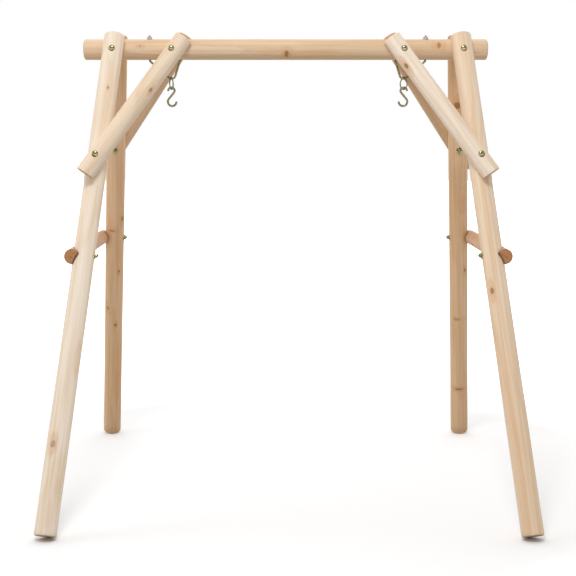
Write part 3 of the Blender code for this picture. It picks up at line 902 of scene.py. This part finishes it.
print("thread of", THREAD_PITCH * 1000, "mm pitch")

# %% [markdown]
# ## Taking a solid's place
# A finer piece replaces its CAD solid and rides on the same body, so it moves as the
# solid does. A hanger is replaced by three pieces, and only the first one says so.
# How worn each vertex is, and where it is painted with shade, goes with the mesh, for the zinc to
# read.

# %% Placing a piece
SHARP = radians(38)
REPLACED = set()


def placed(name, shape, place, finish, node, slot, wear_and_shade):
    """Finishes a bmesh as a piece that takes a CAD node's place."""
    layer = shape.verts.layers.float.new("wear_and_shade")
    for vertex in shape.verts:
        vertex[layer] = wear_and_shade(vertex.co)
    bmesh.ops.transform(shape, matrix=place, verts=shape.verts)
    mesh = bpy.data.meshes.new(name)
    shape.to_mesh(mesh)
    shape.free()
    mesh.shade_smooth()
    mesh.set_sharp_from_angle(angle=SHARP)
    mesh.materials.append(finish)
    piece = bpy.data.objects.new(name, mesh)
    bpy.context.collection.objects.link(piece)
    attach(piece, BODY_OF[node])
    if node not in REPLACED:
        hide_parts(node)
        REPLACED.add(node)
    return piece


def finish_of(name):
    return NUT_ZINC if name.startswith("hanger") else BOLT_ZINC


def slot_of(name):
    return "swing_steel" if name.startswith(("hanger", "link", "s_hook")) else "bolt_steel"


def outward_axis(name):
    """The direction from the wood outwards for a washer or nut."""
    bolt = name.rsplit("_", 1)[0]
    return -BOLTS[bolt] if bolt in BOLTS else Vector((0, 0, 1))


print("nodes by slot:", {slot: sum(slot_of(name) == slot for name in NODES if not is_log(name))
                         for slot in ("bolt_steel", "swing_steel")})

# %% [markdown]
# ## Carriage bolts
# A carriage bolt has a low dome for a head, so that nobody catches on it. The dome is
# part of a sphere, whose radius follows from its width and its rise, on a thin rim.
# The real bolt's square neck is left out, since the head hides it.

# %% Carriage bolts
DOME_STEPS = 9
DOME_RIM = 0.0013
HEAD_ZONE = 0.02
THREADED_LENGTH = 0.032
THREAD_CHAMFER = 0.001


def carriage_bolt(name, axis):
    """A dome on a threaded shank, with the CAD bolt's sizes."""
    piece = Round(name, axis)
    shank = np.median(piece.across[piece.along < piece.high - HEAD_ZONE])
    under = piece.along[piece.across > shank * 1.5].min()
    head_height = piece.high - under
    length = under - piece.low
    rise = head_height - DOME_RIM
    sphere = (piece.outer ** 2 + rise ** 2) / (2 * rise)
    widest = asin(piece.outer / sphere)
    outline = [(sphere * sin(widest * step / DOME_STEPS),
                head_height - sphere * (1 - cos(widest * step / DOME_STEPS)))
               for step in range(DOME_STEPS + 1)]
    outline += [(piece.outer, DOME_RIM * 0.4), (piece.outer - DOME_RIM * 0.4, 0), (shank, 0)]
    heights = thread_heights(THREAD_CHAMFER - length, THREADED_LENGTH - length)
    outline += [(shank, z) for z in reversed(heights)]
    outline += [(shank - THREAD_CHAMFER, -length), (0, -length)]
    shape = spun(outline)
    press_thread(shape, shank, THREAD_CHAMFER - length, THREADED_LENGTH - length)

    def wear_and_shade(co):
        """Rubbed at the crown of the dome, with painted shade at its rim."""
        out = co.to_2d().length / piece.outer
        return 0.4 * (1 - 2 * out) if out < 0.5 else -1.0 * max(0.0, out - 0.72) / 0.28

    placed(name + "_turned", shape, piece.place(under), BOLT_ZINC, name, "bolt_steel", wear_and_shade)


for name, axis in BOLTS.items():
    carriage_bolt(name, axis)
print(len(BOLTS), "carriage bolts turned")

# %% [markdown]
# ## Washers
# A washer is punched from sheet. The punch pulls one edge round and leaves the other
# sharp, and the round edge looks outwards here.

# %% Washers
WASHER_ROUND = 0.0005


def washer(name, axis):
    """A punched ring: its outer upper edge is rounded, the lower one is sharp."""
    piece = Round(name, axis)
    outline = [(piece.bore, piece.low), (piece.outer, piece.low),
               (piece.outer, piece.high - WASHER_ROUND * 1.4),
               (piece.outer - WASHER_ROUND * 0.4, piece.high - WASHER_ROUND * 0.5),
               (piece.outer - WASHER_ROUND * 1.4, piece.high), (piece.bore, piece.high)]
    shape = spun(outline)

    def wear_and_shade(co):
        """Rubbed on the outer face."""
        return 0.35 if co.z > piece.high - WASHER_ROUND else 0.0

    placed(name + "_punched", shape, piece.place(0), finish_of(name), name, slot_of(name), wear_and_shade)


WASHERS = [name for name in NODES if "washer" in name]
for name in WASHERS:
    washer(name, outward_axis(name))
print(len(WASHERS), "washers")

# %% [markdown]
# ## Nuts
# A nut is cut from hexagon bar and its corners are turned off. Here a chamfered ring
# is spun and six planes cut the flats, which leaves the curved edges of real nuts. A
# bevel on a hexagon would make straight ones.

# %% Nuts
NUT_STEPS = 72
NUT_SIDES = 6
NUT_CHAMFER_ANGLE = radians(30)
NUT_LEAD_IN = 0.0006
# The ring is larger than the hexagon, and each flat is cut just inside the end's edge
BLANK_PART = 1.01
FLAT_PART = 0.9995


def nut_turn(name, piece):
    """The angle about the axis at which the CAD nut has a corner."""
    to_local = piece.place(0).inverted()
    corner = max((to_local @ vertex.co for vertex in NODES[name].data.vertices),
                 key=lambda co: co.to_2d().length)
    return atan2(corner.y, corner.x)


def nut_ring(piece, flat):
    """The turned ring that the hexagon is cut from."""
    blank = piece.outer * BLANK_PART
    drop = (blank - flat) * sin(NUT_CHAMFER_ANGLE) / cos(NUT_CHAMFER_ANGLE)
    low, high, bore = piece.low, piece.high, piece.bore
    return spun([(bore + NUT_LEAD_IN, low), (flat, low), (blank, low + drop),
                 (blank, high - drop), (flat, high), (bore + NUT_LEAD_IN, high),
                 (bore, high - NUT_LEAD_IN), (bore, low + NUT_LEAD_IN)], NUT_STEPS)


def nut(name, axis):
    """A turned ring with chamfered ends, cut by the six planes of a hexagon."""
    piece = Round(name, axis)
    flat = piece.outer * cos(pi / NUT_SIDES)
    shape = nut_ring(piece, flat)
    for side in range(NUT_SIDES):
        turn = 2 * pi / NUT_SIDES * side + pi / NUT_SIDES
        out = Vector((cos(turn), sin(turn), 0))
        geometry = shape.verts[:] + shape.edges[:] + shape.faces[:]
        bmesh.ops.bisect_plane(shape, geom=geometry, dist=SAME_POINT, clear_outer=True,
                               plane_co=out * flat * FLAT_PART, plane_no=out)
        open_edges = [edge for edge in shape.edges if edge.is_boundary]
        bmesh.ops.edgeloop_fill(shape, edges=open_edges)
    bmesh.ops.recalc_face_normals(shape, faces=shape.faces)

    def wear_and_shade(co):
        """Rubbed at the corners, where the spanner bites."""
        return 0.55 if co.to_2d().length > flat * 1.08 else 0.1

    place = piece.place(0) @ Matrix.Rotation(nut_turn(name, piece), 4, "Z")
    placed(name + "_cut", shape, place, finish_of(name), name, slot_of(name), wear_and_shade)


NUTS = [name for name in NODES if name.endswith(("_nut", "_nut_left", "_nut_right"))]
for name in NUTS:
    nut(name, outward_axis(name))
print(len(NUTS), "nuts")

# %% [markdown]
# ## Hangers, links and hooks
# The rods, links and hooks are bent from round wire. Their solids already follow the
# real bends, so the finer pieces are copies of them: loose triangles are merged, flat
# pairs are joined to quads, and a Subdivision Surface rounds the wire. Subdividing
# draws a coarse ring inwards, so each copy is first swollen. The round wire then lies
# midway between the corners and the flats of the coarse one.

# %% Smooth copies of the bent wire
WIRE_SIDES = 10
SWELL = (1 + cos(pi / WIRE_SIDES)) / 2 / (2 / 3 + cos(2 * pi / WIRE_SIDES) / 3) - 1
WELD = 1e-6
FLAT = radians(1)
END_INSET = 0.12
SUBDIVISIONS = 2


def wire_copy(node, wire):
    """A merged bmesh of a bent CAD piece, swollen against the shrinking."""
    shape = bmesh.new()
    shape.from_mesh(NODES[node].data)
    bmesh.ops.remove_doubles(shape, verts=shape.verts, dist=WELD)
    bmesh.ops.join_triangles(shape, faces=shape.faces, angle_face_threshold=radians(30),
                             angle_shape_threshold=radians(60))
    ends = [edge for edge in shape.edges
            if len(edge.link_faces) == 2 and edge.calc_face_angle() < FLAT
            and any(len(face.verts) == 3 for face in edge.link_faces)]
    bmesh.ops.dissolve_edges(shape, edges=ends)
    caps = [face for face in shape.faces if len(face.verts) > 4]
    bmesh.ops.inset_region(shape, faces=caps, thickness=wire * END_INSET, use_even_offset=True)
    shape.normal_update()
    for vertex in shape.verts:
        vertex.co += vertex.normal * wire / 2 * SWELL
    return shape


def smoothed(piece):
    step = piece.modifiers.new("round_wire", "SUBSURF")
    step.levels = SUBDIVISIONS
    step.render_levels = SUBDIVISIONS
    piece.data.shade_smooth()


def rub_marks(node, others, reach):
    """How much the wire is worn near the middles where it touches other pieces."""
    spots = []
    for other in others:
        low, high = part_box(node)
        other_low, other_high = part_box(other)
        spots.append(Vector([(max(a, c) + min(b, d)) / 2 for a, b, c, d
                             in zip(low, high, other_low, other_high)]))
    return lambda co: max(max(0.0, 1 - (co - spot).length / reach) for spot in spots)


print("wire swollen by", round(SWELL * 100, 1), "percent before it is rounded")

# %% [markdown]
# ## Links and S-hooks
# A link hangs in the rod and a hook in the link. Steel rubs bare where it hangs, so
# each is most worn at the middle of the overlap between its box and its neighbour's.

# %% Links and hooks
LINK_WIRE = 0.0055
HOOK_WIRE = 0.009
# How far from its middle a rubbed place reaches
LINK_RUB = 0.014
HOOK_RUB = 0.018
STILL = Matrix.Identity(4)

for side in ("left", "right"):
    link, hook, hanger = "link_" + side, "s_hook_" + side, "hanger_" + side
    smoothed(placed(link + "_bent", wire_copy(link, LINK_WIRE), STILL, HOOK_ZINC, link,
                    "swing_steel", rub_marks(link, (hanger, hook), LINK_RUB)))
    smoothed(placed(hook + "_bent", wire_copy(hook, HOOK_WIRE), STILL, HOOK_ZINC, hook,
                    "swing_steel", rub_marks(hook, (link,), HOOK_RUB)))
print("links and hooks bent")

# %% [markdown]
# ## Hanger rods
# Both limbs of a rod go up through the beam and end in threads. A subdivided copy
# can't carry a thread, so it is cut off inside the beam, where nobody sees it, and a
# spun rod with a thread goes on from there.

# %% Hanger rods with their threaded ends
ROD_DIAMETER = 0.009
ROD_RUB = 0.020
THREAD_WEAR = 0.3
CUT_DEPTH = 0.012
BEAM_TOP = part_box("top_beam")[1].z


def threaded_end(name, hanger, points):
    """A threaded rod from inside the beam up to the top of these points of a limb."""
    rod = ROD_DIAMETER / 2
    foot = Vector((points[:, 0].mean(), points[:, 1].mean(), BEAM_TOP - CUT_DEPTH))
    length = points[:, 2].max() - foot.z
    outline = [(0, 0)] + [(rod, z) for z in thread_heights(0, length - THREAD_CHAMFER)]
    outline += [(rod - THREAD_CHAMFER, length), (0, length)]
    shape = spun(outline)
    press_thread(shape, rod, 0, length - THREAD_CHAMFER)
    placed(name, shape, Matrix.Translation(foot), NUT_ZINC, hanger, "swing_steel",
           lambda co: THREAD_WEAR)


for side in ("left", "right"):
    hanger = "hanger_" + side
    shape = wire_copy(hanger, ROD_DIAMETER)
    geometry = shape.verts[:] + shape.edges[:] + shape.faces[:]
    bmesh.ops.bisect_plane(shape, geom=geometry, dist=SAME_POINT, clear_outer=True,
                           plane_co=(0, 0, BEAM_TOP - CUT_DEPTH), plane_no=(0, 0, 1))
    bmesh.ops.holes_fill(shape, edges=[edge for edge in shape.edges if edge.is_boundary])
    smoothed(placed(hanger + "_bent", shape, STILL, HOOK_ZINC, hanger,
                    "swing_steel", rub_marks(hanger, ("link_" + side,), ROD_RUB)))
    points = points_of(NODES[hanger])
    tops = points[points[:, 2] > BEAM_TOP]
    middle_x = abs(points[:, 0].mean())
    threaded_end(hanger + "_outer_thread", hanger, tops[abs(tops[:, 0]) > middle_x])
    threaded_end(hanger + "_inner_thread", hanger, tops[abs(tops[:, 0]) < middle_x])
print("hangers bent and threaded")
